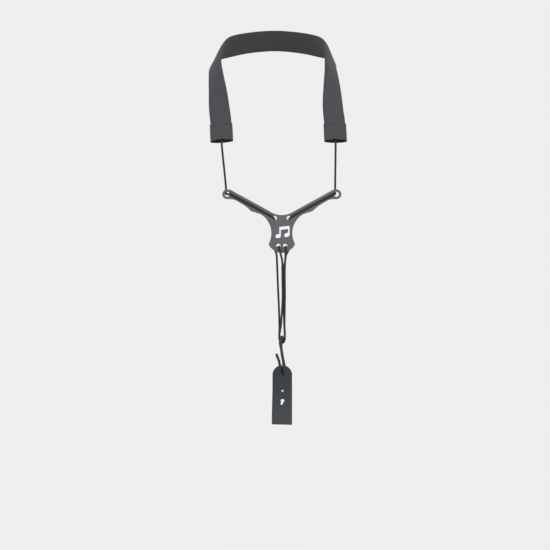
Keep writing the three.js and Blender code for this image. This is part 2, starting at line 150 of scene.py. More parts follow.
def make_studio():
    """A pale room: an even white surround, a large soft light above the front, a weaker one on the
    right and one behind, and a pale round floor well below the strap."""
    surround, floor_radius, floor_place = (0.86, 0.86, 0.865, 1), 0.4, (0, -0.06, -0.6)
    world = bpy.data.worlds.new("studio")
    world.use_nodes = True
    background = world.node_tree.nodes["Background"]
    background.inputs["Color"].default_value = surround
    background.inputs["Strength"].default_value = 1
    bpy.context.scene.world = world
    bpy.context.scene.view_settings.view_transform = "Standard"
    area_light("key_light", (-0.5, -1.3, 0.9), 0.7, 9)
    area_light("fill_light", (1.2, -0.9, 0.2), 0.9, 4)
    area_light("back_light", (0.3, 1.4, 0.8), 0.8, 5)
    bpy.ops.mesh.primitive_circle_add(vertices=96, radius=floor_radius, fill_type="NGON",
                                      location=floor_place)
    floor = bpy.context.object
    floor.name = "floor"
    material = new_material("pale_floor", (0.8, 0.8, 0.81), 0.7)
    grain = add_node(material, "ShaderNodeTexNoise", {"Scale": 60.0, "Detail": 4.0})
    add_bump(material, grain.outputs["Fac"], strength=0.1, distance=0.0002)
    floor.data.materials.append(material)


# ---------------- material helpers

def shader_of(material):
    return material.node_tree.nodes["Principled BSDF"]


def new_material(name, color, roughness, **sockets):
    """A material whose shader has these even values. Names with a space are given with a _."""
    material = bpy.data.materials.new(name)
    material.use_nodes = True
    shader = shader_of(material)
    shader.inputs["Base Color"].default_value = (*color, 1)
    shader.inputs["Roughness"].default_value = roughness
    for key, value in sockets.items():
        shader.inputs[key.replace("_", " ")].default_value = value
    return material


def add_node(material, kind, inputs=None, **settings):
    """A node with these inputs, each a value or the socket that feeds it."""
    tree = material.node_tree
    node = tree.nodes.new(kind)
    for key, value in settings.items():
        setattr(node, key, value)
    for key, value in (inputs or {}).items():
        if isinstance(value, bpy.types.NodeSocket):
            tree.links.new(value, node.inputs[key])
        else:
            node.inputs[key].default_value = value
    return node


def feed(material, socket, name):
    material.node_tree.links.new(socket, shader_of(material).inputs[name])


def coordinates(material, kind="UV"):
    return add_node(material, "ShaderNodeTexCoord").outputs[kind]


def calculate(material, operation, first, second):
    inputs = {0: first, 1: second}
    return add_node(material, "ShaderNodeMath", inputs, operation=operation).outputs["Value"]


def blend_of(material, factor, first, second):
    """First where the factor is 0, and second where it is 1."""
    inputs = {0: factor, 2: first, 3: second}
    return add_node(material, "ShaderNodeMix", inputs, data_type="FLOAT").outputs[0]


def mixture(material, *parts):
    """A weighted sum. Each part is a socket and its weight."""
    total = 0
    for socket, weight in parts:
        part = calculate(material, "MULTIPLY", socket, weight)
        total = calculate(material, "ADD", total, part)
    return total


def tint(material, tone, color, *stops):
    """Colour the material by its tone. Each stop is a tone and the share of the colour there."""
    node = add_node(material, "ShaderNodeValToRGB", {"Fac": tone})
    elements = node.color_ramp.elements
    while len(elements) < len(stops):
        elements.new(1)
    for element, (position, share) in zip(elements, stops):
        element.position = position
        element.color = (*(channel * share for channel in color), 1)
    feed(material, node.outputs["Color"], "Base Color")


def spread_of(material, factor, low=0.0, high=1.0, start=0.0, stop=1.0):
    """Low to high, as the factor goes from start to stop."""
    inputs = {"Value": factor, "From Min": start, "From Max": stop, "To Min": low, "To Max": high}
    return add_node(material, "ShaderNodeMapRange", inputs).outputs["Result"]


def add_bump(material, height, strength, distance):
    inputs = {"Height": height, "Strength": strength, "Distance": distance}
    feed(material, add_node(material, "ShaderNodeBump", inputs).outputs["Normal"], "Normal")


def noise(material, vector, size, detail=4.0, roughness=0.55):
    """Noise whose lumps are about size metres across."""
    inputs = {"Vector": vector, "Scale": 1 / size, "Detail": detail, "Roughness": roughness}
    return add_node(material, "ShaderNodeTexNoise", inputs).outputs["Fac"]


def stripes(material, vector, period, direction):
    """A soft wave along one axis."""
    radians_per_unit = 20  # of the wave texture
    inputs = {"Vector": vector, "Scale": 2 * math.pi / radians_per_unit / period}
    return add_node(material, "ShaderNodeTexWave", inputs, bands_direction=direction).outputs["Fac"]


# ---------------- materials

def woven_material(name, color, thread, relief, roughness=0.85):
    """Plain weave: where the checks alternate, the warp or the weft lies on top."""
    material = new_material(name, color, roughness, Sheen_Weight=0.06, Sheen_Roughness=0.5,
                            Specular_IOR_Level=0.3)
    uv = coordinates(material)
    warp = stripes(material, uv, thread, "X")
    weft = stripes(material, uv, thread, "Y")
    checks = add_node(material, "ShaderNodeTexChecker", {"Vector": uv, "Scale": 1 / thread})
    weave = blend_of(material, checks.outputs["Fac"], warp, weft)
    mottle = noise(material, uv, 0.006)
    tone = mixture(material, (weave, 0.35), (mottle, 0.65))
    tint(material, tone, color, (0.2, 0.72), (0.8, 1.25))
    feed(material, spread_of(material, mottle, roughness - 0.08, roughness + 0.08), "Roughness")
    add_bump(material, weave, strength=0.5, distance=relief)
    return material


def braid_material(name, color, fibre):
    """Fine fibres that run both ways with the strands of a braid, dull where they catch dust."""
    material = new_material(name, color, 0.62, Sheen_Weight=0.06, Sheen_Roughness=0.45,
                            Specular_IOR_Level=0.35)
    uv = coordinates(material)
    mirror = {0: uv, 1: (-1, 1, 1)}
    mirrored = add_node(material, "ShaderNodeVectorMath", mirror, operation="MULTIPLY")
    one_way = stripes(material, uv, fibre, "DIAGONAL")
    other_way = stripes(material, mirrored.outputs["Vector"], fibre, "DIAGONAL")
    fibres = calculate(material, "MAXIMUM", one_way, other_way)
    mottle = noise(material, uv, 0.0012)
    tone = mixture(material, (fibres, 0.3), (mottle, 0.7))
    tint(material, tone, color, (0.25, 0.6), (0.75, 1.55))
    feed(material, spread_of(material, mottle, 0.5, 0.74), "Roughness")
    add_bump(material, fibres, strength=0.35, distance=0.00006)
    return material


def thread_material(color):
    """Twisted sewing thread."""
    material = new_material("sewing_thread", color, 0.55, Sheen_Weight=0.1)
    twist = stripes(material, coordinates(material), 0.0003, "DIAGONAL")
    tint(material, twist, color, (0.2, 0.7), (0.9, 1.4))
    add_bump(material, twist, strength=0.5, distance=0.00008)
    return material


def plastic_material(color):
    """Moulded plastic: fine spark texture, faint flow marks, and edges rubbed a little paler."""
    material = new_material("moulded_plastic", color, 0.42, Specular_IOR_Level=0.45)
    place = coordinates(material, "Object")
    spark = noise(material, place, 0.00025, detail=2.0)
    flow = noise(material, place, 0.012)
    worn = add_node(material, "ShaderNodeNewGeometry").outputs["Pointiness"]
    edge = spread_of(material, worn, start=0.52, stop=0.62)
    tone = mixture(material, (flow, 0.5), (edge, 0.4))
    tint(material, tone, color, (0.15, 0.86), (0.8, 1.3))
    feed(material, spread_of(material, flow, 0.34, 0.5), "Roughness")
    add_bump(material, spark, strength=0.25, distance=0.00005)
    return material


def print_material():
    """Flat white ink, slightly uneven."""
    color = (0.82, 0.83, 0.84)
    material = new_material("white_print", color, 0.5)
    speckle = noise(material, coordinates(material, "Object"), 0.0006)
    tint(material, speckle, color, (0.3, 0.86), (0.6, 1.05))
    add_bump(material, speckle, strength=0.2, distance=0.00004)
    return material


def leather_material(color):
    """Grain leather: fine pebbles and pores on the faces, raw fibres on the cut edges, painted
    shade inside its holes, slit and grooves, and paler towards the foot."""
    material = new_material("tab_leather", color, 0.55, Specular_IOR_Level=0.3)
    place = coordinates(material, "Object")
    height_above = add_node(material, "ShaderNodeSeparateXYZ", {"Vector": place}).outputs["Z"]
    # the leather's colour is darker towards the top and paler towards the foot
    toward_foot = spread_of(material, height_above, start=PALING_FROM, stop=PALING_TO)
    wavy = noise(material, place, 0.006)
    pebbles = add_node(material, "ShaderNodeTexVoronoi", {"Vector": place, "Scale": 1 / 0.00085},
                       feature="SMOOTH_F1").outputs["Distance"]
    pores = noise(material, place, 0.0003, detail=3.0)
    grain = mixture(material, (pebbles, 1.0), (pores, 0.5))
    cut = add_node(material, "ShaderNodeAttribute", attribute_name="cut_edge").outputs["Fac"]
    light = add_node(material, "ShaderNodeAttribute", attribute_name="open_to_light").outputs["Fac"]
    fibres = noise(material, place, 0.0005, detail=6.0, roughness=0.7)
    face_tone = mixture(material, (toward_foot, 0.45), (wavy, 0.35), (grain, 0.22))
    edge_tone = calculate(material, "MULTIPLY", fibres, 0.7)
    # painted shade: inside the holes, slit and grooves the tone falls to 0, near black
    tone = calculate(material, "MULTIPLY", blend_of(material, cut, face_tone, edge_tone), light)
    tint(material, tone, color, (0, 0.1), (0.2, 0.42), (0.9, 1.3))
    shine = spread_of(material, wavy, 0.48, 0.62)
    feed(material, blend_of(material, cut, shine, 0.8), "Roughness")
    add_bump(material, blend_of(material, cut, grain, fibres), strength=0.5, distance=0.00018)
    return material


def record_color(slot, share):
    """A share of the colour that the record gives a material slot. The record's colours are as
    seen in a bright room, whose reflection is part of what is seen."""
    finishes = {finish["slot"]: finish for finish in frame["record"]["materials"]}
    return tuple(channel * share for channel in finishes[slot]["base_color"][:3])


band_fabric = woven_material("band_fabric", record_color("band_fabric", 0.68), 0.00045, 0.00007)
band_lining = woven_material("band_lining", record_color("band_lining", 0.8), 0.0007, 0.0001, 0.92)
# a near-black copy of the band fabric: painted shade for the hollow inside the hem
hem_painted_shade = woven_material("hem_painted_shade", (0.01, 0.01, 0.011), 0.00045, 0.00007, 0.95)
cord_braid = braid_material("cord_braid", record_color("cord_braid", 0.6), 0.00022)
lace_braid = braid_material("lace_braid", record_color("lace_braid", 0.8), 0.0003)
# a darker copy of the lace colour: painted shade for the wrap in the tab's notch
lace_painted_shade = braid_material("lace_painted_dark_shade", record_color("lace_braid", 0.2), 0.0003)
thread = thread_material(record_color("thread", 1.3))
yoke_plastic = plastic_material(record_color("yoke_plastic", 0.65))
white_print = print_material()
tab_leather = leather_material(record_color("tab_leather", 0.62))


# ---------------- lines and frames

def unit(vectors):
    vectors = np.asarray(vectors, float)
    return vectors / np.linalg.norm(vectors, axis=-1, keepdims=True)


def smooth_curve(points, samples):
    """A centripetal Catmull-Rom curve through the points, with so many samples to each stretch.
    The last point closes it, so point i is sample i * samples."""
    points = np.asarray(points, float)
    padded = np.vstack([2 * points[0] - points[1], points, 2 * points[-1] - points[-2]])
    share = np.linspace(0, 1, samples, endpoint=False)[:, None]
    pieces = []
    for p0, p1, p2, p3 in zip(padded, padded[1:], padded[2:], padded[3:]):
        spans = ((p0, p1), (p1, p2), (p2, p3))
        d0, d1, d2 = (math.sqrt(max(np.linalg.norm(b - a), 1e-7)) for a, b in spans)
        leave = ((p1 - p0) / d0 - (p2 - p0) / (d0 + d1) + (p2 - p1) / d1) * d1
        arrive = ((p2 - p1) / d1 - (p3 - p1) / (d1 + d2) + (p3 - p2) / d2) * d1
        square, cube = share**2, share**3
        pieces.append(
            (2 * cube - 3 * square + 1) * p1
            + (cube - 2 * square + share) * leave
            + (3 * square - 2 * cube) * p2
            + (cube - square) * arrive
        )
    return np.vstack([*pieces, points[-1:]])


def distances(line):
    """How far along the line each of its points is."""
    return np.concatenate([[0], np.cumsum(np.linalg.norm(np.diff(line, axis=0), axis=1))])


def evenly(line, step):
    """The line again with points about step apart, and how far along each of them is."""
    along = distances(line)
    at = np.linspace(0, along[-1], max(3, round(along[-1] / step) + 1))
    return np.stack([np.interp(at, along, line[:, k]) for k in range(3)], axis=1), at


def carried_axes(line):
    """Two axes across the line at each point, carried along it without twisting."""
    tangents = unit(np.gradient(line, axis=0))
    first = np.cross(tangents[0], (0, 1, 0))
    if np.linalg.norm(first) < 0.1:
        first = np.cross(tangents[0], (1, 0, 0))
    rows = [unit(first)]
    for tangent in tangents[1:]:
        row = rows[-1] - tangent * np.dot(rows[-1], tangent)
        rows.append(unit(row))
    side = np.array(rows)
    return side, np.cross(tangents, side)


def tube_rings(line, radii, sides):
    """Rings round a line. The radii have a row for each point of it, with a column for each side
    or one for all of them."""
    side, up = carried_axes(line)
    angle = np.linspace(0, 2 * math.pi, sides, endpoint=False)[:, None]
    spokes = np.cos(angle) * side[:, None] + np.sin(angle) * up[:, None]
    return line[:, None] + radii[..., None] * spokes


# ---------------- mesh helpers

def grid_shape(rings, along):
    """Quads over rings of points, with fans over the ends. UVs are metres round and along."""
    count, around = rings.shape[:2]
    middle = rings[count // 2]
    across = distances(np.vstack([middle, middle[:1]]))
    row, col = np.indices((count - 1, around)).reshape(2, -1)
    following = (col + 1) % around
    corners = ((row, col, col), (row, following, col + 1),
               (row + 1, following, col + 1), (row + 1, col, col))
    faces = np.stack([r * around + c for r, c, _ in corners], axis=1).tolist()
    uvs = np.stack([np.stack([across[u], along[r]], axis=1) for r, _, u in corners], axis=1).tolist()
    vertices = rings.reshape(-1, 3).tolist()
    fan_uvs = [(0, 0), (0.0005, 0), (0, 0.0005)]
    for first, order in ((0, -1), ((count - 1) * around, 1)):
        centre = len(vertices)
        vertices.append(np.mean(vertices[first:first + around], axis=0).tolist())
        for j in range(around):
            pair = [first + j, first + (j + 1) % around][::order]
            faces.append([*pair, centre])
            uvs.append(fan_uvs)
    return SimpleNamespace(vertices=vertices, faces=faces, uvs=uvs, materials=[0] * len(faces))


def joined(shapes):
    """Several shapes as one."""
    whole = SimpleNamespace(vertices=[], faces=[], uvs=[], materials=[])
    for shape in shapes:
        start = len(whole.vertices)
        whole.vertices += shape.vertices
        whole.faces += [[start + i for i in face] for face in shape.faces]
        whole.uvs += shape.uvs
        whole.materials += shape.materials
    return whole


def make_object(name, shape, *materials):
    mesh = bpy.data.meshes.new(name)
    mesh.from_pydata(shape.vertices, [], shape.faces)
    flat_uvs = [value for face in shape.uvs for uv in face for value in uv]
    mesh.uv_layers.new(name="UVMap").data.foreach_set("uv", flat_uvs)
    mesh.polygons.foreach_set("material_index", shape.materials)
    mesh.shade_smooth()
    for material in materials:
        mesh.materials.append(material)
    return add_object(name, mesh)


def belongs(piece, body, slot, *nodes):
    """The piece rides on a body and stands for CAD nodes, which are hidden. The slot is not used."""
    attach(piece, body)
    if nodes:
        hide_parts(*nodes)


# ---------------- braided cord

BRAID_STRANDS = 3  # wound each way
BRAID_SIDES = 24
CORD_STEP = 0.0004

# A braid's lay: how far a strand runs in one turn, and how far it stands out, as a share of the
# radius.
CORD_LAY = (0.0078, 0.17)
LACE_LAY = (0.0102, 0.2)
WRAP_LAY = (0.0051, 0.2)


def braid_rings(line, along, radius, lay):
    """Rings round a braid: two sets of strands wind opposite ways and pass over and under. The
    radius is one number, or one for each ring."""
    lead, relief = lay
    turn = np.linspace(0, 1, BRAID_SIDES, endpoint=False)
    one_way = BRAID_STRANDS * (turn[None, :] + along[:, None] / lead)
    other_way = BRAID_STRANDS * (turn[None, :] - along[:, None] / lead)
    over = (np.floor(one_way) + np.floor(other_way)) % 2 == 0
    across_one, across_other = 2 * (one_way % 1) - 1, 2 * (other_way % 1) - 1
    top = np.where(over, across_one, across_other)
    below = np.where(over, across_other, across_one)
    height = (1 - 0.8 * top**2) * (1 - 0.4 * below**2)
    mean_height = 0.45
    radii = np.broadcast_to(radius, along.shape)[:, None] * (1 + relief * (height - mean_height))
    return tube_rings(line, radii, BRAID_SIDES)


def melted_tip(along, tip, diameter):
    """Radius shares that close the end of a cord in a bead, over its last half diameter."""
    left = np.clip((tip - along) / (0.5 * diameter), 0, 1)
    return np.sqrt(np.clip(1 - (1 - left)**2, 0.01, 1))


# ---------------- neck band route

# Half of the band's middle line, from the nape to the hem: how far it reaches sideways, y, z, the
# direction its outer face looks in on the right, and how far the drape leans to the right.
BAND_ROUTE = [
    (0, 0.0016, 0, (0, 1, 0), 0),
    (0.0245, -0.0034, -0.002, (0.4, 0.92, 0), 0),
    (0.045, -0.0175, -0.0065, (0.74, 0.67, 0.02), 0),
    (0.0582, -0.0375, -0.013, (0.9, 0.24, 0.36), 0.0002),
    (0.0633, -0.055, -0.0215, (0.91, -0.11, 0.4), -0.0005),
    (0.0645, -0.068, -0.0305, (0.83, -0.46, 0.31), -0.0017),
    (0.0645, -0.08, -0.044, (0.7, -0.71, 0.1), -0.0009),
    (0.0636, -0.0905, -0.061, (0.5, -0.86, 0.05), 0.0004),
    (0.0629, -0.1002, -0.0805, (0.24, -0.95, 0.22), 0.0017),
    (0.0627, -0.1104, -0.0986, (0.05, -0.86, 0.5), 0.0037),
    (0.0626, -0.122, -0.118, (0.05, -0.86, 0.5), 0.0046),
]
BAND_SAMPLES = 18  # stations to each stretch of the route
HEM_Z = BAND_ROUTE[-1][2]


def middle_point(row, side):
    reach, y, z, _, lean = row
    return np.array([side * reach + lean, y, z])


def facing(row, side):
    x, y, z = row[3]
    return np.array([side * x, y, z])


def axes_at(direction, outward):
    """Along, out and across, at right angles to each other."""
    along = unit(direction)
    out = unit(outward - along * np.sum(outward * along, axis=-1, keepdims=True))
    return along, out, np.cross(out, along)


def hem(side):
    """The bottom middle of one hem. Along points down out of the sleeve."""
    mouth_row, hem_row = BAND_ROUTE[-2:]
    point = middle_point(hem_row, side)
    along, out, across = axes_at(point - middle_point(mouth_row, side), facing(hem_row, side))
    return SimpleNamespace(point=point, along=along, out=out, across=across)


def in_hem(station, x, y, z):
    """Points given across the band, out of its face and down out of the sleeve."""
    x, y, z = (np.asarray(value, float)[..., None] for value in (x, y, z))
    return station.point + station.across * x + station.out * y + station.along * z


# ---------------- cord routes

# The left cord's loop in yoke coordinates: down from behind the plate on the left, round under
# the lace, and up in front on the right.
LEFT_LOOP_ROUTE = [
    (-0.0058, BEHIND, -0.0401), (-0.0054, BEHIND, -0.046), (-0.005, 0.0029, -0.056),
    (-0.0043, 0.0025, -0.074), (-0.0035, 0.0021, -0.092), (-0.0029, 0.0019, -0.106),
    (-0.0026, 0.0018, -0.12), (-0.0028, 0.0018, -0.129), (-0.0026, 0.0014, -0.1336),
    (-0.0014, 0.0006, -0.1364), (0.0003, 0, -0.1373), (0.002, -0.0006, -0.1364),
    (0.0032, -0.0014, -0.1336), (0.0034, -0.0018, -0.129), (0.003, -0.0018, -0.12),
    (0.0031, -0.0022, -0.104), (0.0034, -0.0028, -0.084), (0.0032, IN_FRONT, -0.06),
    (0.0036, IN_FRONT, -0.048), (0.0041, IN_FRONT, -0.0401),
]

# The right cord's loop: down from behind the plate on the right, round under the lace inside the
# left cord's turn, and up in front, from beside the left strand back to the middle.
RIGHT_LOOP_ROUTE = [
    (0.0049, BEHIND, -0.0401), (0.0037, BEHIND, -0.047), (0.0022, 0.0029, -0.058),
    (0.002, 0.0027, -0.076), (0.0022, 0.0023, -0.095), (0.0025, 0.0019, -0.112),
    (0.003, 0.0018, -0.124), (0.0032, 0.0017, -0.129), (0.0028, 0.0012, -0.1324),
    (0.0003, 0, -0.1345), (-0.0022, -0.0012, -0.1324), (-0.0026, -0.0017, -0.129),
    (-0.0021, -0.0018, -0.125), (-0.001, -0.0018, -0.118), (-0.0004, -0.002, -0.11),
    (0.0003, -0.0023, -0.101), (0.0009, -0.0026, -0.088), (0.0008, -0.003, -0.072),
    (0.0006, IN_FRONT, -0.058), (0.0005, IN_FRONT, -0.048), (-0.0003, IN_FRONT, -0.0434),
    (-0.0012, IN_FRONT, -0.0401),
]
LOOP_ROUTES = {LEFT: LEFT_LOOP_ROUTE, RIGHT: RIGHT_LOOP_ROUTE}


def between(a, b, share):
    return a + (b - a) * share


def hem_stretch(side):
    """From the knot in the sleeve down through the hem."""
    station = hem(side)
    return [in_hem(station, 0, 0, -depth) for depth in (KNOT_DEPTH, 0.0018, 0)]


def upper_stretch(side):
    """From the hem's slope to upright, down to the yoke's ring."""
    x = hem(side).point[0]
    ring_x = YOKE_X + side * RING[0] + RING_LEAN
    return [
        (x, HANG_Y - 0.00085, HEM_Z - 0.0015),
        (x, HANG_Y - 0.0013, HEM_Z - 0.004),
        (between(x, ring_x, 0.2), HANG_Y - 0.0006, HEM_Z - 0.014),
        (between(x, ring_x, 0.65), HANG_Y + 0.0016, HEM_Z - 0.034),
        (ring_x, HANG_Y + BEHIND, YOKE_Z + 0.0335),
    ]


def arm_stretch(side):
    """Through the ring from behind, down the arm's channel, through the top hole and down the
    plate's back to its bottom edge."""
    ring_x = RING[0]
    lean = side * RING_LEAN
    route = [
        (ring_x + lean, BEHIND + 0.0002, 0.0305), (ring_x + lean, 0.003, 0.0282),
        (ring_x + lean * 0.9, 0.0012, 0.0266), (ring_x - 0.0009 + lean * 0.6, -0.0005, 0.0262),
        (0.0576, IN_CHANNEL, 0.0261), (0.05, IN_CHANNEL, 0.0223), (0.04, IN_CHANNEL, 0.017),
        (0.03, IN_CHANNEL, 0.0116), (0.02, IN_CHANNEL, 0.0063), (0.012, IN_CHANNEL, 0.0021),
        (0.0096, -0.0014, 0.0006), (0.0087, -0.0002, -0.0004), (0.0083, 0.0017, -0.0008),
        (0.0082, 0.003, -0.0017), (0.0081, 0.0033, -0.0035), (0.0081, BEHIND, -0.008),
        (0.0081, BEHIND, -0.02), (0.0081, BEHIND, -0.031), (0.0073, BEHIND, -0.0355),
    ]
    return [YOKE + (side * x, y, z) for x, y, z in route]


def loop_stretch(side):
    return [YOKE + point for point in LOOP_ROUTES[side]]


def end_stretch(side):
    """Up over the plate's front and back through the bottom hole on the other side."""
    start = LOOP_ROUTES[side][-1][0]
    hole = -side * BOTTOM_HOLE[0] + END_LEAN
    route = [
        (between(start, hole, 0.35), IN_FRONT, -0.037),
        (between(start, hole, 0.85), -0.0032, -0.0338),
        (hole, -0.0026, -0.0321),
        (hole, -0.001, -0.0314),
        (hole, BACK + 0.0005, -0.0316),
        (hole - END_LEAN, BACK + 0.0024, -0.0332),
    ]
    return [YOKE + point for point in route]


def whole_cord(side):
    """One cord from knot to knot: its line, how far along each point is, and where each of its
    stretches ends."""
    makers = (hem_stretch, upper_stretch, arm_stretch, loop_stretch, end_stretch)
    stretches = [maker(side) for maker in makers]
    samples = 24
    curve = smooth_curve([point for stretch in stretches for point in stretch], samples)
    ends = np.cumsum([len(stretch) for stretch in stretches]) - 1
    marks = distances(curve)[ends * samples]
    line, along = evenly(curve, CORD_STEP)
    return line, along, marks


def knot_line(centre, size, tail):
    """A pretzel-shaped overhand knot in a box of that size, and then its short tail."""
    start, stop = 0.25, 2 * math.pi + 0.1
    turn = np.linspace(start, stop, 90)
    reach = 2 + np.cos(3 * turn)
    width, depth, height = (extent / 2 for extent in size)
    loops = np.stack([
        centre[0] + width * reach * np.cos(2 * turn) / 3,
        centre[1] + depth * np.sin(3 * turn),
        centre[2] + height * reach * np.sin(2 * turn) / 3,
    ], axis=1)
    return np.vstack([loops, loops[-1] + np.array(tail)])


def loose_end(name, line, along, diameter, lay, material):
    """A length of braid that ends in a bead."""
    radius = 0.5 * diameter * melted_tip(along, along[-1], diameter)
    return make_object(name, grid_shape(braid_rings(line, along, radius, lay), along), material)


def tied_knot(name, centre, size, tail, diameter, lay, material):
    line, along = evenly(smooth_curve(knot_line(centre, size, tail), 4), CORD_STEP)
    return loose_end(name, line, along, diameter, lay, material)


HEM_BEND = 0.007  # the cord's stub piece reaches this far below the hem


def cord_pieces(name, side):
    """The visible pieces of one cord, cut where its stretches start to move differently."""
    line, along, marks = whole_cord(side)
    rings = braid_rings(line, along, CORD_DIAMETER / 2, CORD_LAY)
    hem_end, upper_end, arm_end, loop_end, _ = marks
    stub_end = hem_end + HEM_BEND

    def stretch(label, start, stop):
        first, last = np.searchsorted(along, (start, stop))
        part = slice(first, last + 1)
        piece = make_object(f"{name}_cord_{label}", grid_shape(rings[part], along[part]), cord_braid)
        return piece, line[part], along[part]

    stub, stub_line, _ = stretch("hem_stub", 0, stub_end)
    upper, upper_line, upper_along = stretch("upper", stub_end, upper_end)
    arm, _, _ = stretch("in_yoke", upper_end, arm_end)
    loop, loop_line, loop_along = stretch("loop", arm_end, loop_end)
    end, _, _ = stretch("end", loop_end, along[-1])

    in_hem(hem(side), 0, 0, 0)
    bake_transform(stub)
    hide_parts(f"cord_{name}_upper")
    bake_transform(upper)
    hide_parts(f"cord_{name}_arm")
    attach(arm, "yoke")
    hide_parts(f"cord_{name}_loop")
    top, turn = loop_line[0], loop_line[loop_line[:, 2].argmin()]
    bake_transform(loop)
    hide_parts(f"cord_{name}_end")
    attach(end, "yoke")


def sleeve_knot(name, side):
    """The knot hidden in the sleeve, which keeps the cord from pulling out of the hem."""
    station = hem(side)
    centre = in_hem(station, 0, 0, -KNOT_DEPTH - 0.001)
    size = (0.0042, 0.002, 0.0034)
    tail, diameter = (0, 0.0004, 0.002), 0.0018
    knot = tied_knot(f"{name}_cord_sleeve_knot", centre, size, tail, diameter, CORD_LAY, cord_braid)
    belongs(knot, "neck_band", "cord_braid", f"cord_{name}_sleeve_knot")


def stop_knot(name, side):
    """The stopper knot behind the plate, with its short end."""
    low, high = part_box(f"cord_{name}_stop_knot")
    centre = (low + high) / 2
    size = (high - low) * 0.86
    tail, diameter = (-side * 0.0016, 0.0006, 0.0036), 0.0019
    knot = tied_knot(f"{name}_cord_stopper_knot", centre, size, tail, diameter, CORD_LAY, cord_braid)
    belongs(knot, "yoke", "cord_braid", f"cord_{name}_stop_knot")


make_camera()
make_studio()
for name, side in SIDES.items():
    cord_pieces(name, side)
    sleeve_knot(name, side)
    stop_knot(name, side)


# ---------------- lace

# One loop of lace in yoke coordinates: up in front of the cords' turns, through them, and down
# behind.
LACE_ROUTE = [
    (0.0023, 0.0032, -0.1644), (0.0024, 0.003, -0.1606), (0.0014, 0.0018, -0.156),
    (0.0005, 0.0002, -0.1518), (-0.0003, -0.0019, -0.146), (-0.001, -0.0032, -0.142),
    (-0.0018, -0.0044, -0.1372), (-0.0015, -0.0049, -0.134), (-0.0004, -0.0044, -0.1316),
    (0.0003, -0.0027, -0.1307), (0.0003, 0, -0.1307), (0.0003, 0.0027, -0.1308),
    (0.0001, 0.0045, -0.1324), (-0.0005, 0.005, -0.136), (-0.0007, 0.0049, -0.142),
    (0.0002, 0.005, -0.149), (0.0014, 0.0056, -0.156), (0.0023, 0.0064, -0.1644),
]
LACE_PARTING = -0.1495  # height where the lace's bight ends and its two legs begin

# The lace's wrap: forward through the tab's slit and over its top edge, in a dent.
WRAP_ROUTE = [
    (0.0002, 0.0017, -0.1666), (0.0001, 0, -0.1663), (0, -0.0018, -0.1659),
    (-0.0001, -0.0024, -0.1646), (-0.0002, -0.0021, -0.1631), (-0.0002, 0, -0.1625),
    (-0.0002, 0.0021, -0.1631), (-0.0002, 0.0025, -0.1642),
]

TAIL_ROUTE = [
    (-0.0014, 0.0045, -0.164), (-0.0024, 0.0044, -0.161), (-0.003, 0.0042, -0.158),
    (-0.0039, 0.004, -0.155), (-0.0052, 0.0038, -0.1518), (-0.0061, 0.0037, -0.149),
]


def lace_line(route):
    return evenly(smooth_curve([YOKE + point for point in route], 24), CORD_STEP)


def lace_bight_and_legs():
    """The loop through the cords' turns, and the two legs that run down to the tab's knot."""
    line, along = lace_line(LACE_ROUTE)
    rings = braid_rings(line, along, LACE_DIAMETER / 2, LACE_LAY)
    above = np.flatnonzero(line[:, 2] > YOKE_Z + LACE_PARTING)
    first, last = above[0], above[-1]
    parts = {
        "lace_front_leg": slice(0, first + 1),
        "lace_bight": slice(first, last + 1),
        "lace_back_leg": slice(last, None),
    }
    pieces = {}
    for label, part in parts.items():
        pieces[label] = make_object(label, grid_shape(rings[part], along[part]), lace_braid)
    bight = pieces["lace_bight"]
    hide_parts("lace_loop")
    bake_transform(bight)
    for label in ("lace_front_leg", "lace_back_leg"):
        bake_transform(pieces[label])


def lace_wrap():
    line, along = lace_line(WRAP_ROUTE)
    rings = braid_rings(line, along, WRAP_DIAMETER / 2, WRAP_LAY)
    # the wrap is painted with shade: it takes the darkened copy of the lace colour
    wrap = make_object("lace_wrap_turn", grid_shape(rings, along), lace_painted_shade)
    belongs(wrap, "tab", "lace_braid", "lace_wrap")


def lace_tail():
    tail = loose_end("lace_tail_end", *lace_line(TAIL_ROUTE), TAIL_DIAMETER, LACE_LAY, lace_braid)
    belongs(tail, "tab", "lace_braid", "lace_tail")


def lace_knot():
    low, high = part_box("lace_knot")
    centre, size = (low + high) / 2, (high - low) * 0.8
    tail, diameter = (-0.001, 0.0004, 0.0034), 0.0025
    knot = tied_knot("lace_knot_tied", centre, size, tail, diameter, LACE_LAY, lace_braid)
    belongs(knot, "tab", "lace_braid", "lace_knot")


lace_bight_and_legs()
lace_wrap()
lace_tail()
lace_knot()


# ---------------- neck band

FACE_HALF = (BAND_WIDTH - BAND_EDGE) / 2
PANEL_HALF = BAND_WIDTH / 2 - 0.0009
PANEL_THICKNESS = 0.0003
LINING_BURIED = 0.0005  # how far the panel reaches into the band


def near_seam(across, reach):
    """1 on the rows of stitches, fading out over this reach on both sides of them."""
    return np.exp(-((BAND_WIDTH / 2 - np.abs(across) - SEAM_INSET) / reach)**2)


def swell(across, half_width):
    """How full a crowned face is: 1 in the middle and 0 at its edges."""
    return np.clip(1 - (across / half_width)**2, 0, 1)**0.45


def face_height(across, crown=BAND_CROWN, half_width=FACE_HALF):
    """How high a crowned face lies over the band's middle. Its stitches pull it in."""
    dent, dent_reach = 0.00028, 0.0005
    return BAND_EDGE / 2 + crown * swell(across, half_width) - dent * near_seam(across, dent_reach)


def backing_height(across):
    return face_height(across, LINING_CROWN)


def lining_height(across):
    """The lining panel lies on the band's back and thins out at its edges."""
    panel = PANEL_THICKNESS * swell(across, PANEL_HALF)**0.3
    return face_height(across, LINING_CROWN, PANEL_HALF) + panel


def spaced(half_width, count):
    """Places from one edge to the other, closer together towards the edges."""
    return half_width * np.sin(np.linspace(-math.pi / 2, math.pi / 2, count))


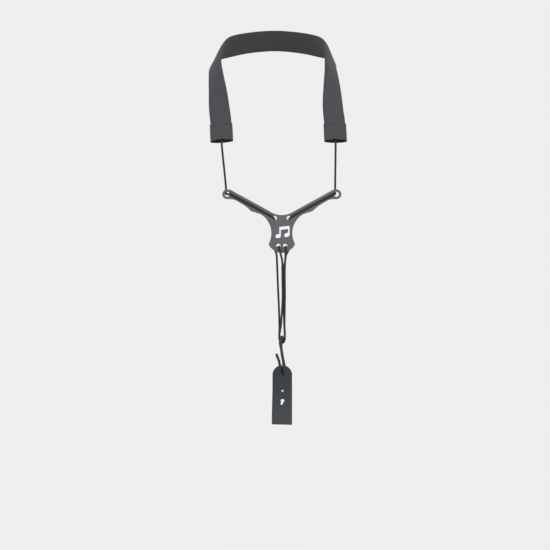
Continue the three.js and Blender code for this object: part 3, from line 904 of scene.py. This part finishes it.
def flat_outline(half_width, edge, count, front, back):
    """The outline across something flat, as (across, out) points: two faces, whose heights are
    functions of the place across, and two round edges beyond the half width."""
    x = spaced(half_width, count)
    bend = np.linspace(-math.pi / 2, math.pi / 2, 8)[1:-1]
    right = np.stack([half_width + edge / 2 * np.cos(bend), edge / 2 * np.sin(bend)], axis=1)
    outer = np.stack([x, front(x)], axis=1)[::-1]
    inner = np.stack([x, -back(x)], axis=1)
    return np.vstack([inner, right, outer, -right])


def across_lining():
    x = spaced(PANEL_HALF, 30)
    outer = -lining_height(x)
    inner = outer + LINING_BURIED
    return np.vstack([np.stack([x, outer], axis=1), np.stack([x, inner], axis=1)[::-1]])


def band_stations():
    """From the left sleeve over the nape to the right sleeve: points with their axes."""
    rows = [(row, LEFT) for row in reversed(BAND_ROUTE)] + [(row, RIGHT) for row in BAND_ROUTE[1:]]
    middle = smooth_curve([middle_point(row, side) for row, side in rows], BAND_SAMPLES)
    outward = smooth_curve([facing(row, side) for row, side in rows], BAND_SAMPLES)
    tucked = round(0.55 * BAND_SAMPLES)  # the band's ends are hidden in the sleeves
    part = slice(tucked, len(middle) - tucked)
    along, out, across = axes_at(np.gradient(middle, axis=0)[part], outward[part])
    return SimpleNamespace(point=middle[part], along=along, out=out, across=across)


def soft_waves(distance, across):
    """The slight unevenness of a padded strap, in metres out of its face."""
    broad = np.sin(distance * 210 + 0.6) * np.cos(across * 190 + distance * 37)
    puckers = np.sin(distance * 1900) * near_seam(across, 0.0016)
    broad_height, pucker_height = 0.00012, 0.00007
    return broad_height * broad + pucker_height * puckers


def band_surface(stations, outline):
    across, out = outline[:, 0], outline[:, 1]
    distance = distances(stations.point)
    lift = np.sign(out)[None, :] * soft_waves(distance[:, None], across[None, :])
    height = out[None, :] + lift * (np.abs(out)[None, :] > BAND_EDGE * 0.4)
    return (stations.point[:, None] + across[None, :, None] * stations.across[:, None]
            + height[..., None] * stations.out[:, None]), distance


def stitch(points, radius):
    """One visible stitch: a short bent bar of thread that dips at both ends."""
    step, sides, blunt = 0.00035, 6, 0.25
    line, along = evenly(smooth_curve(points, 6), step)
    share = np.sin(np.linspace(blunt, math.pi - blunt, len(line)))**0.4
    return grid_shape(tube_rings(line, radius * share[:, None], sides), along)


# Where a stitch's points lie: a share of its length, and a height above the cloth.
STITCH_LIFTS = ((0, -0.0002), (0.2, 0.00006), (0.5, 0.0001), (0.8, 0.00006), (1, -0.0002))


def band_stitches(stations, face, across):
    """A row of stitches along the band, on its outer face (1) or its lining (-1)."""
    pitch, length, radius = 0.0031, 0.0023, 0.00019
    hidden = 0.012  # of each end, in the sleeve
    distance = distances(stations.point)
    height = face_height(across) if face > 0 else lining_height(across)

    def interpolated(rows, where):
        return np.array([np.interp(where, distance, rows[:, k]) for k in range(3)])

    def at(where, lift):
        out = unit(interpolated(stations.out, where))
        sideways = unit(interpolated(stations.across, where))
        raised = height + soft_waves(where, across) + lift
        return interpolated(stations.point, where) + sideways * across + out * face * raised

    starts = np.arange(hidden, distance[-1] - hidden, pitch)
    return [stitch([at(start + share * length, lift) for share, lift in STITCH_LIFTS], radius)
            for start in starts]


def neck_band():
    """The padded strap: a crowned woven face over foam, and a softer lining on the neck's side."""
    stations = band_stations()
    outline = flat_outline(FACE_HALF, BAND_EDGE, 34, face_height, backing_height)
    rings, distance = band_surface(stations, outline)
    body = make_object("neck_band_padded", grid_shape(rings, distance), band_fabric)
    belongs(body, "neck_band", "band_fabric", "neck_band_face", "neck_band_padding")

    rings, distance = band_surface(stations, across_lining())
    lining = make_object("neck_band_lining_panel", grid_shape(rings, distance), band_lining)
    belongs(lining, "neck_band", "band_lining", "neck_band_lining")

    reach = BAND_WIDTH / 2 - SEAM_INSET
    stitches = []
    for face in (1, -1):
        for edge in (LEFT, RIGHT):
            stitches += band_stitches(stations, face, edge * reach)
    seam = make_object("neck_band_stitching", joined(stitches), thread)
    belongs(seam, "neck_band", "thread")


# ---------------- end sleeves

# How the sleeve's skin runs: in from the mouth's lip, down the outside and in again at the hem.
# Each row is depth above the hem, width, thickness in the middle and thickness at the sides.
SLEEVE_SKIN = [
    (0.0196, 0.0236, 0.0034, 0.0018),
    (0.0216, 0.0238, 0.0037, 0.002),
    (0.0225, 0.0242, 0.0042, 0.0023),
    (0.0226, 0.0246, 0.0046, 0.0026),
    (0.0223, 0.0249, 0.005, 0.0029),
    (0.0214, 0.025, 0.005, 0.0029),
    (0.0206, 0.025, 0.0046, 0.0026),
    (0.0203, 0.025, 0.0045, 0.0026),
    (0.02, 0.025, 0.0046, 0.0026),
    (0.019, 0.025, 0.0051, 0.0029),
    (0.015, 0.0251, 0.0054, 0.003),
    (0.01, 0.0252, 0.0056, 0.003),
    (0.005, 0.0252, 0.0059, 0.003),
    (0.002, 0.0252, 0.0063, 0.003),
    (0.0006, 0.0253, 0.0066, 0.0031),
    (0.0001, 0.0252, 0.0065, 0.003),
    (0, 0.025, 0.0062, 0.0027),
    (0.0002, 0.0246, 0.0057, 0.0022),
    (0.0008, 0.0243, 0.0053, 0.0017),
    (0.0016, 0.024, 0.0048, 0.0014),
]
# rows inside the hem that are painted near-black as shade
HEM_SHADE_ROWS = 3
MEASURED_POINT = 40  # of each ring: its path along the skin gives the cloth's length
HEM_ARCH = 0.0013  # how far the hem's front edge is drawn up in the middle


def across_sleeve(width, middle, edge):
    """The outline across a flattened sleeve: a lens with round ends."""
    flat = (width - edge) / 2

    def half(x):
        return edge / 2 + (middle - edge) / 2 * np.clip(1 - (x / flat)**2, 0, 1)**0.7

    return flat_outline(flat, edge, 26, half, half)


def sleeve(name, side):
    """The folded fabric sleeve, open at the hem where the cord comes out."""
    station = hem(side)
    samples = 3
    sag_depth, half_thickness, arch_reach, front_skin = 0.00018, 0.003, 0.006, 0.0015
    rows = smooth_curve(SLEEVE_SKIN, samples)
    rings = []
    for depth, width, middle, edge in rows:
        x, out = across_sleeve(width, middle, edge).T
        sag = sag_depth * np.sin(x * 420 + side) * math.sin(depth * 260)
        front = np.clip(out / front_skin, 0, 1) * (1 - (2 * x / width)**2)
        arch = HEM_ARCH * front * max(0, 1 - depth / arch_reach)
        rings.append(in_hem(station, x, out * (1 + sag / half_thickness), -depth - arch))
    rings = np.array(rings)[:, ::-1]
    shape = grid_shape(rings, distances(rings[:, MEASURED_POINT]))
    around = rings.shape[1]
    quads = (len(rings) - 1) * around
    # the rows inside the hem and the hem's end cap take the near-black fabric: painted shade
    dark = HEM_SHADE_ROWS * samples * around
    shape.materials[quads - dark:quads] = [1] * dark
    shape.materials[-around:] = [1] * around
    piece = make_object(f"{name}_end_sleeve", shape, band_fabric, hem_painted_shade)
    belongs(piece, "neck_band", "band_fabric", f"end_sleeve_{name}")


def sleeve_stitching(name, side):
    """The row of stitches that closes the sleeve's mouth, on both faces, and a bar tack at each
    end of it."""
    station = hem(side)
    depth, radius = 0.0203, 0.0002
    pitch, length = 0.0024, 0.0018
    reach = SLEEVE_WIDTH / 2 - 0.0022
    edge_height, crown = 0.0013, 0.00095

    def at(x, face, lift, down=0.0):
        half = edge_height + crown * (1 - (x / (SLEEVE_WIDTH / 2))**2)**0.7
        return in_hem(station, x, face * (half + lift), -depth + down)

    shapes = []
    for face in (1, -1):
        for start in np.arange(-reach, reach - length, pitch):
            points = [at(start + share * length, face, lift) for share, lift in STITCH_LIFTS]
            shapes.append(stitch(points, radius))
    tack = ((-0.0008, -0.0002), (-0.0004, 0.00014), (0.0004, 0.00014), (0.0008, -0.0002))
    tack_rows, tack_pitch = 4, 0.00035
    for edge in (LEFT, RIGHT):
        for row in range(tack_rows):
            x = edge * (reach + 0.0001)
            down = (row - (tack_rows - 1) / 2) * tack_pitch
            shapes.append(stitch([at(x + shift, 1, lift, down) for shift, lift in tack], radius))
    piece = make_object(f"{name}_sleeve_stitching", joined(shapes), thread)
    belongs(piece, "neck_band", "thread", f"sleeve_seam_{name}")


neck_band()
for name, side in SIDES.items():
    sleeve(name, side)
    sleeve_stitching(name, side)


# ---------------- moulded solids

def prism(outline, front, back):
    """A closed solid with the given (x, z) outline between two depths, in yoke coordinates."""
    count = len(outline)
    vertices = [YOKE + (x, y, z) for y in (front, back) for x, z in outline]
    faces = [list(range(count)), list(range(2 * count - 1, count - 1, -1))]
    faces += [[i, count + i, count + (i + 1) % count, (i + 1) % count] for i in range(count)]
    return helper_object(vertices, faces)


def helper_object(vertices, faces):
    """A solid to build with, whose faces all look outwards."""
    mesh = bpy.data.meshes.new("helper")
    mesh.from_pydata([tuple(v) for v in vertices], [], faces)
    solid = bmesh.new()
    solid.from_mesh(mesh)
    bmesh.ops.recalc_face_normals(solid, faces=solid.faces)
    solid.to_mesh(mesh)
    solid.free()
    return add_object("helper", mesh)


def round_bar(start, end, radius):
    """A bar with round ends between two points of the yoke."""
    start, end = np.array(start, float), np.array(end, float)
    axis = unit(end - start)
    bend = np.linspace(-math.pi / 2, 0, 8)
    caps = [(start + axis * radius * math.sin(b), radius * math.cos(b)) for b in bend]
    caps += [(end - axis * radius * math.sin(b), radius * math.cos(b)) for b in bend[::-1]]
    line = np.array([YOKE + point for point, _ in caps])
    sides, least_radius = 28, 0.00002
    radii = np.maximum([ring_radius for _, ring_radius in caps], least_radius)
    shape = grid_shape(tube_rings(line, radii[:, None], sides), distances(line))
    return helper_object(shape.vertices, shape.faces)


def arc(centre, radius, start, stop, count):
    """Points on a circle, from one angle to the other in degrees."""
    angle = np.radians(np.linspace(start, stop, count))
    return np.stack([centre[0] + radius * np.cos(angle), centre[1] + radius * np.sin(angle)], axis=1)


def circle(centre, radius, count=40):
    return arc(centre, radius, 0, 360, count + 1)[:-1]


def slot_outline(start, start_radius, end, end_radius):
    """A slot with two round ends: the outline drawn tight round two circles."""
    dx, dz = end[0] - start[0], end[1] - start[1]
    turn = math.degrees(math.atan2(dz, dx))
    spread = math.degrees(math.acos((start_radius - end_radius) / math.hypot(dx, dz)))
    return np.vstack([
        arc(start, start_radius, turn + spread, turn + 360 - spread, 16),
        arc(end, end_radius, turn - spread, turn + spread, 16),
    ])


def add_boolean(obj, other, operation):
    modifier = obj.modifiers.new("boolean", "BOOLEAN")
    modifier.operation = operation
    modifier.solver = "EXACT"
    modifier.object = other


def moulded(name, solids, cutters, cell, rounding, kept):
    """One solid from several, less the cutters, remeshed in small cells and smoothed so that
    every edge is round, then thinned to the share of faces that is kept."""
    body, *others = solids
    for other in others:
        add_boolean(body, other, "UNION")
    for cutter in cutters:
        add_boolean(body, cutter, "DIFFERENCE")
    remesh = body.modifiers.new("remesh", "REMESH")
    remesh.mode = "VOXEL"
    remesh.voxel_size = cell
    smooth = body.modifiers.new("smooth", "SMOOTH")
    smooth.factor = 0.5
    smooth.iterations = rounding
    thin = body.modifiers.new("thin", "DECIMATE")
    thin.ratio = kept
    bpy.context.view_layer.update()
    finished = body.evaluated_get(bpy.context.evaluated_depsgraph_get())
    mesh = bpy.data.meshes.new_from_object(finished)
    mesh.name = name
    for helper in (*solids, *cutters):
        bpy.data.objects.remove(helper)
    mesh.materials.clear()
    mesh.shade_smooth()
    return add_object(name, mesh)


def points_of(obj):
    points = np.zeros(len(obj.data.vertices) * 3)
    obj.data.vertices.foreach_get("co", points)
    return points.reshape(-1, 3)


def set_points(obj, points):
    obj.data.vertices.foreach_set("co", points.ravel())
    obj.data.update()


# ---------------- yoke

def half_yoke_outline():
    """The right half, from the middle of the top edge to the middle of the bottom edge: the V's
    inner curve, the ring, the arm's underside with its bulge, the waist and the lobe."""
    share = np.linspace(0, 1, 10)[:, None]
    start, pull, stop = np.array([(0, 0.0034), (0.007, 0.0035), (0.013, 0.0072)])
    top = (1 - share)**2 * start + 2 * share * (1 - share) * pull + share**2 * stop
    ring_radius, ring_start, ring_stop = 0.0054, 118, -105
    ring = arc(RING, ring_radius, ring_start, ring_stop, 40)
    under_bulge, under_waist, above_lobe = (0.0339, 0.0077), (0.0115, -0.017), (0.0146, -0.029)
    bends = (
        (ring[-1], (0.0525, 0.0202), (0.0448, 0.0161), (0.0384, 0.0118), under_bulge),
        (under_bulge, (0.0285, 0.0059), (0.0237, 0.0043), (0.0189, 0.0009), (0.0149, -0.0044),
         (0.0122, -0.0108), under_waist),
        (under_waist, (0.0122, -0.0222), above_lobe),
        (above_lobe, (0.0126, -0.032), (0.009, -0.0353), (0.0045, -0.0378), (0, -0.0384)),
    )
    return np.vstack([top, ring, *(smooth_curve(points, 6)[1:] for points in bends)])


def yoke():
    """The moulded yoke: a flat Y with a ridge and a channel along each arm, and six holes."""
    right = half_yoke_outline()
    left = right[1:-1][::-1] * (-1, 1)
    solids = [prism(np.vstack([right, left]), FRONT, BACK)]
    cutters = []
    past = 3 * YOKE_THICKNESS
    ridge_radius, ridge_depth = 0.0019, FRONT + 0.0009
    channel_radius, channel_depth = 0.0012, FRONT + 0.00005
    holes = ((RING, 0.00275), (TOP_HOLE, 0.0024), (BOTTOM_HOLE, 0.0023))
    for side in (LEFT, RIGHT):
        ridge = (side * 0.0138, ridge_depth, 0.0057), (side * 0.0575, ridge_depth, 0.0297)
        solids.append(round_bar(*ridge, ridge_radius))
        channel = (side * 0.0089, channel_depth, 0.0004), (side * 0.0575, channel_depth, 0.0263)
        cutters.append(round_bar(*channel, channel_radius))
        for (x, z), radius in holes:
            cutters.append(prism(circle((side * x, z), radius), -past, past))
    body = moulded("yoke_moulding", solids, cutters, cell=0.0003, rounding=5, kept=0.3)
    flatten_faces(body)
    body.data.materials.append(yoke_plastic)
    belongs(body, "yoke", "yoke_plastic", "yoke_body")


def flatten_faces(body):
    """Moulded faces are true planes, so points that nearly lie on them are put there."""
    points = points_of(body)
    nearly = 0.00006
    for plane in (HANG_Y + FRONT, HANG_Y + BACK):
        near = np.abs(points[:, 1] - plane) < nearly
        points[near, 1] = plane
    set_points(body, points)


def yoke_print():
    """A plain printed mark: two beamed notes, slightly proud of the plate."""
    front, back = FRONT - 0.00009, FRONT + 0.00035
    tilt, head_radii = math.pi / 8, (0.0031, 0.0022)
    turn = ((math.cos(tilt), math.sin(tilt)), (-math.sin(tilt), math.cos(tilt)))
    head = circle((0, 0), 1, 32) * head_radii @ turn
    left_stem = [(-0.0027, -0.0202), (-0.0011, -0.0202), (-0.0011, -0.01), (-0.0027, -0.01)]
    right_stem = [(0.0069, -0.0189), (0.0085, -0.0189), (0.0085, -0.009), (0.0069, -0.009)]
    beam = [(-0.0027, -0.013), (0.0085, -0.0118), (0.0085, -0.0086), (-0.0027, -0.0098)]
    heads = [head + (-0.004, -0.0198), head + (0.0056, -0.0186)]
    solids = [prism(outline, front, back) for outline in (beam, left_stem, right_stem, *heads)]
    mark = moulded("yoke_print", solids, [], cell=0.00011, rounding=2, kept=0.3)
    mark.data.materials.append(white_print)
    belongs(mark, "yoke", "emblem_print", "yoke_emblem")


# ---------------- leather tab

tab_low, tab_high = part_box("leather_tab")
TAB_RADIUS = (tab_high.x - tab_low.x - TAB_FLARE) / 2
TAB_X = tab_high.x - TAB_RADIUS - YOKE_X
TAB_TOP = tab_high.z - YOKE_Z
TAB_BOTTOM = tab_low.z - YOKE_Z


def tab_outline():
    """A strip with a round top, and a foot that is not quite square."""
    corner = 0.0005
    right, left = TAB_X + TAB_RADIUS, TAB_X - TAB_RADIUS
    foot = left - TAB_FLARE
    flare_from, flare_to = -0.188, -0.216
    return np.vstack([
        arc((right - corner, TAB_BOTTOM + corner), corner, -90, 0, 6),
        arc((TAB_X, TAB_TOP - TAB_RADIUS), TAB_RADIUS, 0, 180, 60),
        [(left, flare_from), (foot, flare_to)],
        arc((foot + corner, TAB_BOTTOM + TAB_SKEW + corner), corner, 180, 270, 6),
    ])


def tab_warp(x, z):
    """How the leather has taken shape, in metres towards the back: lips pushed forward beside the
    lace in the slit, a pinched fold and a dent below it, a slight curl at the foot, and sides
    that bend back a little."""
    def spot(from_middle, width, height, tall):
        return np.exp(-(from_middle / width)**2 - ((z - height) / tall)**2)

    dx = x - TAB_X
    lips = -0.0004 * spot(np.abs(dx) - 0.0024, 0.0014, -0.167, 0.004)
    fold = -0.0003 * spot(dx + 0.0013, 0.001, -0.1732, 0.0008)
    dent = 0.0005 * spot(dx + 0.0009, 0.001, -0.1756, 0.0013)
    curl = -0.0007 * np.clip((-z - 0.2) / 0.0266, 0, 1)**2
    cup = 0.0003 * (dx / TAB_RADIUS)**2
    return lips + fold + dent + (curl + cup)


def tab_cutters():
    """The lace's dent and slit, a small hole and the keyhole go through. The slit's lower end and
    the relief slits have closed again, so they are only grooves in both faces."""
    past = 3 * TAB_THICKNESS
    groove_floor = 0.15 * TAB_THICKNESS
    slit_top, slit_radius = (-0.0001, -0.16635), 0.00135
    through = [
        circle((-0.0002, -0.1622), 0.0013),
        slot_outline(slit_top, slit_radius, (0.0009, -0.1703), 0.0007),
        circle((0.00075, -0.19), 0.0011),
        circle((0.00075, -0.2009), 0.002),
        slot_outline((0.0003, -0.2026), 0.0011, (-0.00015, -0.2044), 0.00111),
    ]
    grooves = [
        slot_outline(slit_top, slit_radius, (0.0019, -0.1743), 0.0003),
        slot_outline((0.0006, -0.2015), 0.0003, (0.0002, -0.1964), 0.00025),
        slot_outline((-0.0001, -0.204), 0.0003, (0.0003, -0.2074), 0.00025),
    ]
    cutters = [prism(opening, -past, past) for opening in through]
    for groove in grooves:
        cutters += [prism(groove, -past, -groove_floor), prism(groove, groove_floor, past)]
    return cutters


def mark_edges(tab):
    """Two attributes for the leather: where its cut edge shows, and where light reaches it. It is 0
    inside the holes, slit and grooves, where the leather is painted with shade.
    """
    count = len(tab.data.vertices)
    normals = np.zeros(count * 3)
    tab.data.vertices.foreach_get("normal", normals)
    facing_out = np.abs(normals.reshape(-1, 3)[:, 1])
    cut = np.clip(1.4 - 1.6 * facing_out, 0, 1)
    x, y, z = (points_of(tab) - YOKE).T
    fade, foot_margin, top_margin = 0.0006, 0.003, 0.0012
    below_face = np.clip((TAB_THICKNESS / 2 - np.abs(y)) / fade, 0, 1)
    inside = (np.abs(x - TAB_X) < 0.7 * TAB_RADIUS) & (z > TAB_BOTTOM + foot_margin)
    inside &= z < TAB_TOP - top_margin
    for name, values in (("cut_edge", cut), ("open_to_light", 1 - below_face * inside)):
        layer = tab.data.attributes.new(name, "FLOAT", "POINT")
        layer.data.foreach_set("value", values.astype(np.float32))


def leather_tab():
    half = TAB_THICKNESS / 2
    strip = prism(tab_outline(), -half, half)
    tab = moulded("tab_leather_piece", [strip], tab_cutters(), cell=0.00022, rounding=2, kept=0.25)
    mark_edges(tab)
    points = points_of(tab)
    points[:, 1] += tab_warp(points[:, 0] - YOKE_X, points[:, 2] - YOKE_Z)
    set_points(tab, points)
    tab.data.materials.append(tab_leather)
    belongs(tab, "tab", "tab_leather", "leather_tab")


yoke()
yoke_print()
leather_tab()
